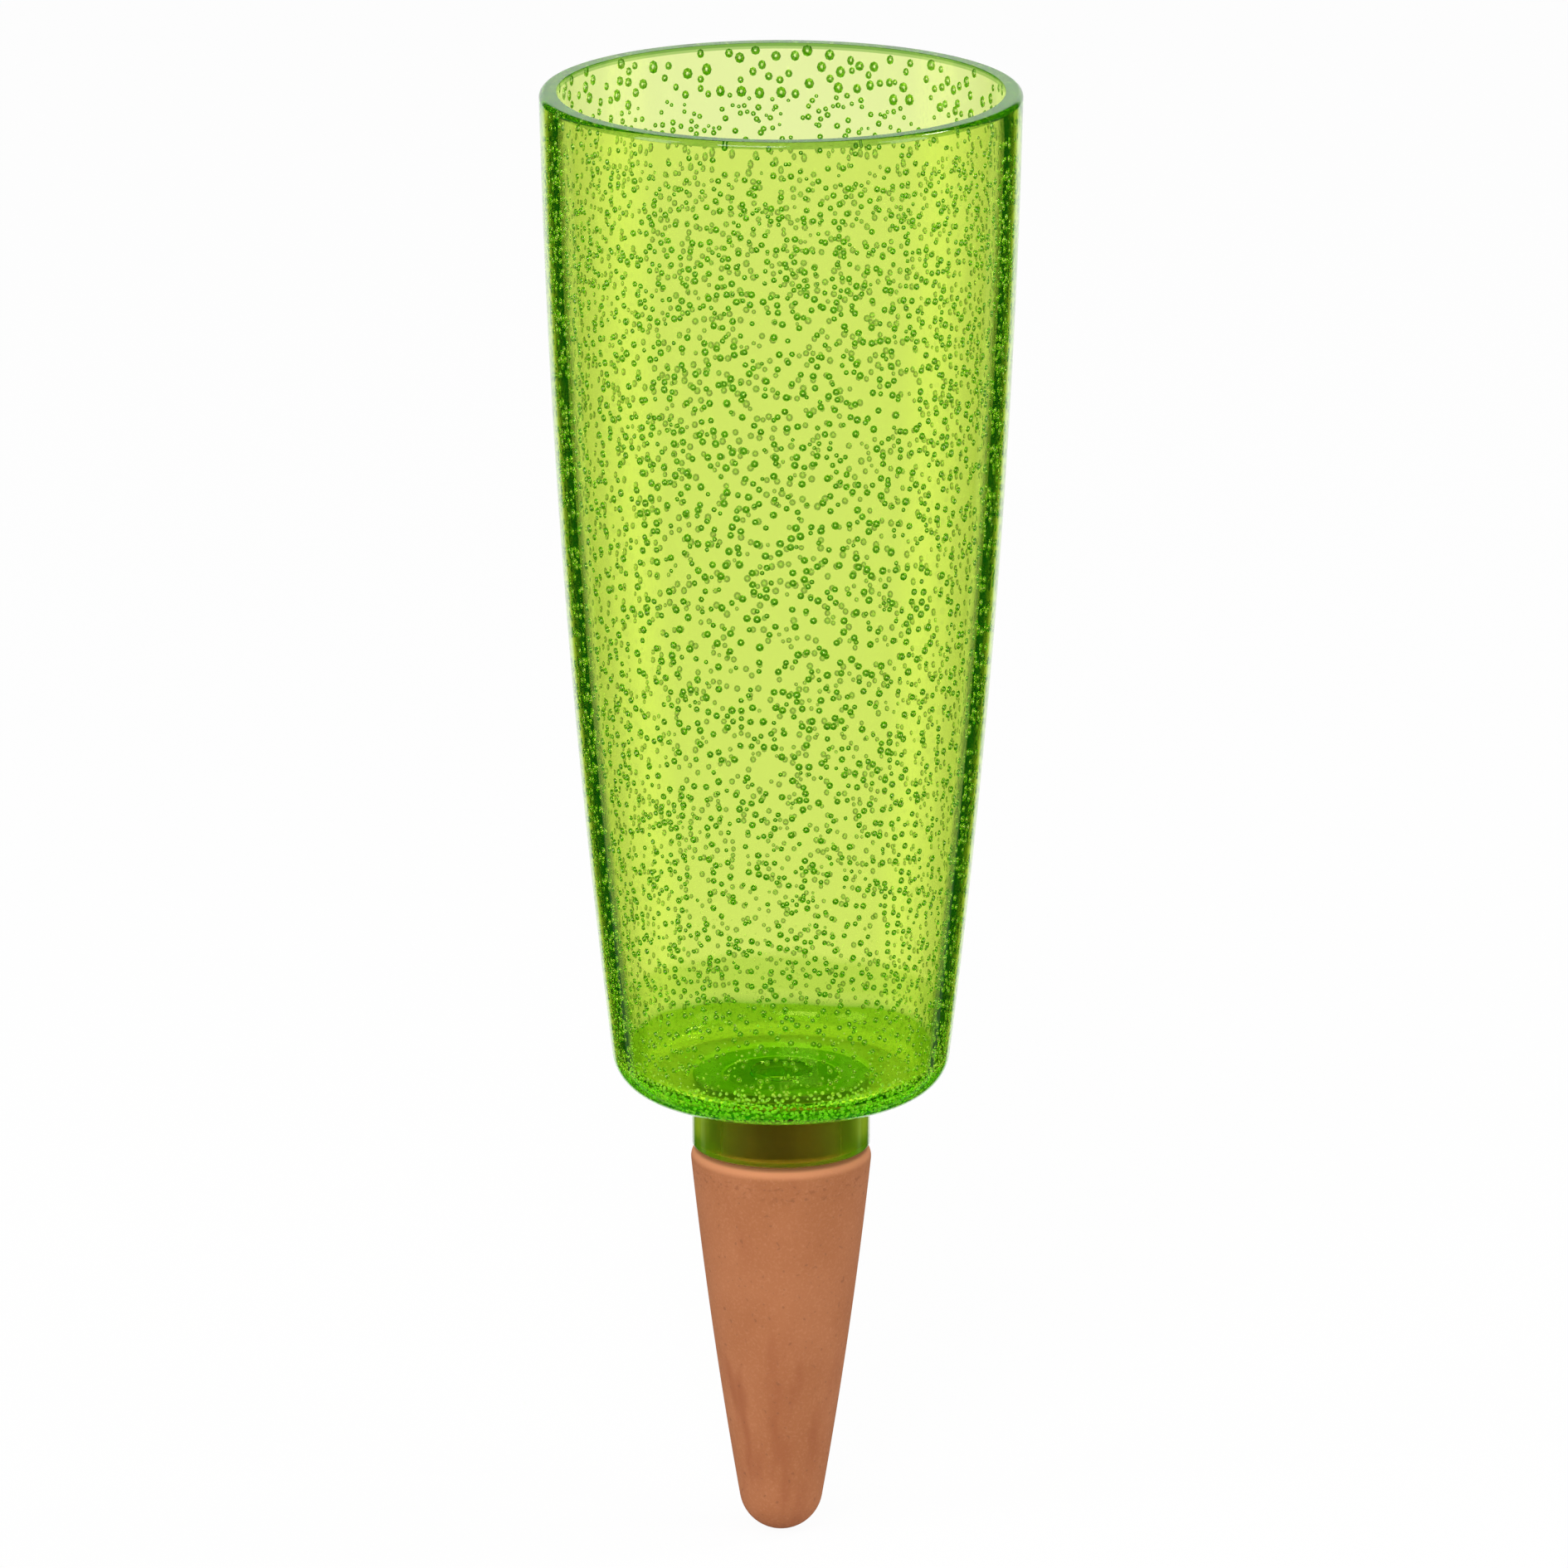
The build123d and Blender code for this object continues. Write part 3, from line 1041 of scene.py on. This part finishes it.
def turned_room(wiring, rays, side, ahead, above):
    """What rays turned inside the glass find: the dim room, side cards and the low backdrop."""
    card = wiring.times(wiring.between(side, CARD_FROM), wiring.between(ahead, CARD_BACK))
    card = wiring.times(card, wiring.between(ahead, CARD_FRONT))
    low = wiring.between(above, TURNED_TOP)
    behind = wiring.times(wiring.between(ahead, BACKDROP_TURNED), low)
    room = wiring.blend(wiring.between(ahead, DARK_EDGE), STUDIO_TURNED, STUDIO_EDGE)
    room = wiring.blend(rays.guided, room, STUDIO_GUIDED)
    room = wiring.blend(wiring.between(above, ABOVE_EDGE), room, STUDIO_ABOVE)
    room = wiring.blend(card, room, CARD_LIGHT)
    return wiring.blend(behind, room, WHITE)


def studio_colour(wiring, rays, way, seen):
    """The studio's colour along a way, with its own answer for mirrored and for turned rays."""
    across, ahead, above = wiring.parts(way)
    side = wiring.math("ABSOLUTE", across)
    colour = wiring.blend(rays.mirrored, seen, mirrored_room(wiring, side, ahead, above))
    return wiring.blend(rays.turned, colour, turned_room(wiring, rays, side, ahead, above))


def build_stage():
    """A pale floor under the tip, which rays through the glass see as the studio."""
    deselect()
    bpy.ops.mesh.primitive_plane_add(size=STAGE_SIZE, location=(0, 0, CONE_LOW.z))
    floor = bpy.context.object
    floor.name = "floor"
    paint = Finish("floor_white")
    paint.set("Base Color", STAGE_WHITE)
    paint.set("Roughness", 1.0)
    paint.set("Specular IOR Level", 0.0)
    rays = Rays(paint)
    way = paint.nodes.new("ShaderNodeVectorMath")
    way.operation = "NORMALIZE"
    paint.feed(way.inputs[0], paint.place())
    glow = paint.nodes.new("ShaderNodeEmission")
    paint.feed(glow.inputs["Color"], studio_colour(paint, rays, way.outputs["Vector"], WHITE))
    paint.feed(glow.inputs["Strength"], 1.0)
    share = paint.math("MAXIMUM", paint.times(rays.straight, STAGE_GLOW), rays.turned)
    share = paint.math("MAXIMUM", share, rays.mirrored)
    mix = paint.nodes.new("ShaderNodeMixShader")
    paint.feed(mix.inputs["Fac"], share)
    paint.feed(mix.inputs[1], paint.shader.outputs["BSDF"])
    paint.feed(mix.inputs[2], glow.outputs["Emission"])
    paint.feed(paint.output.inputs["Surface"], mix.outputs["Shader"])
    floor.data.materials.append(paint.material)


def build_world():
    """A white studio to the eye, and a softer one to matt surfaces."""
    world = bpy.data.worlds.new("studio")
    bpy.context.scene.world = world
    world.use_nodes = True
    wiring = Wiring(world.node_tree)
    rays = Rays(wiring)
    way = wiring.nodes.new("ShaderNodeTexCoord").outputs["Generated"]
    seen = wiring.blend(rays.straight, STUDIO_AMBIENT, WHITE)
    colour = studio_colour(wiring, rays, way, seen)
    wiring.feed(wiring.nodes["Background"].inputs["Color"], colour)


def add_softbox(name, azimuth, elevation, size, power):
    """An area lamp that faces the middle of the cup; azimuth 0 is the camera's side."""
    turn = math.radians(azimuth)
    lift = math.radians(elevation)
    flat = SOFTBOX_DISTANCE * math.cos(lift)
    lamp = bpy.data.lights.new(name, "AREA")
    lamp.shape = "RECTANGLE"
    lamp.size, lamp.size_y = size
    lamp.energy = power
    box = bpy.data.objects.new(name, lamp)
    level = (CUP_BOTTOM + RIM_LEVEL) / 2 + SOFTBOX_DISTANCE * math.sin(lift)
    box.location = (flat * math.sin(turn), -flat * math.cos(turn), level)
    box.rotation_euler = (RIGHT_ANGLE - lift, 0, turn)
    bpy.context.scene.collection.objects.link(box)


def build_camera():
    lens = bpy.data.cameras.new("camera")
    lens.sensor_width = SENSOR
    lens.lens = FOCAL_PX / PICTURE * SENSOR
    lens.shift_x = (PICTURE / 2 - AXIS_PX) / PICTURE
    camera = bpy.data.objects.new("camera", lens)
    camera.location = (0, -CAMERA_DISTANCE, RIM_LEVEL + CAMERA_ABOVE_RIM)
    camera.rotation_euler = (RIGHT_ANGLE - CAMERA_PITCH, 0, 0)
    bpy.context.scene.collection.objects.link(camera)
    bpy.context.scene.camera = camera


build_camera()
build_cup()
build_collar()
build_seal()
build_cone()
build_bubbles()
build_stage()
build_world()
for softbox in SOFTBOXES:
    add_softbox(*softbox)
bpy.context.scene.view_settings.view_transform = "Standard"
bounces = bpy.context.scene.cycles
bounces.max_bounces = GLASS_BOUNCES
bounces.transmission_bounces = GLASS_BOUNCES
bounces.glossy_bounces = GLOSSY_BOUNCES
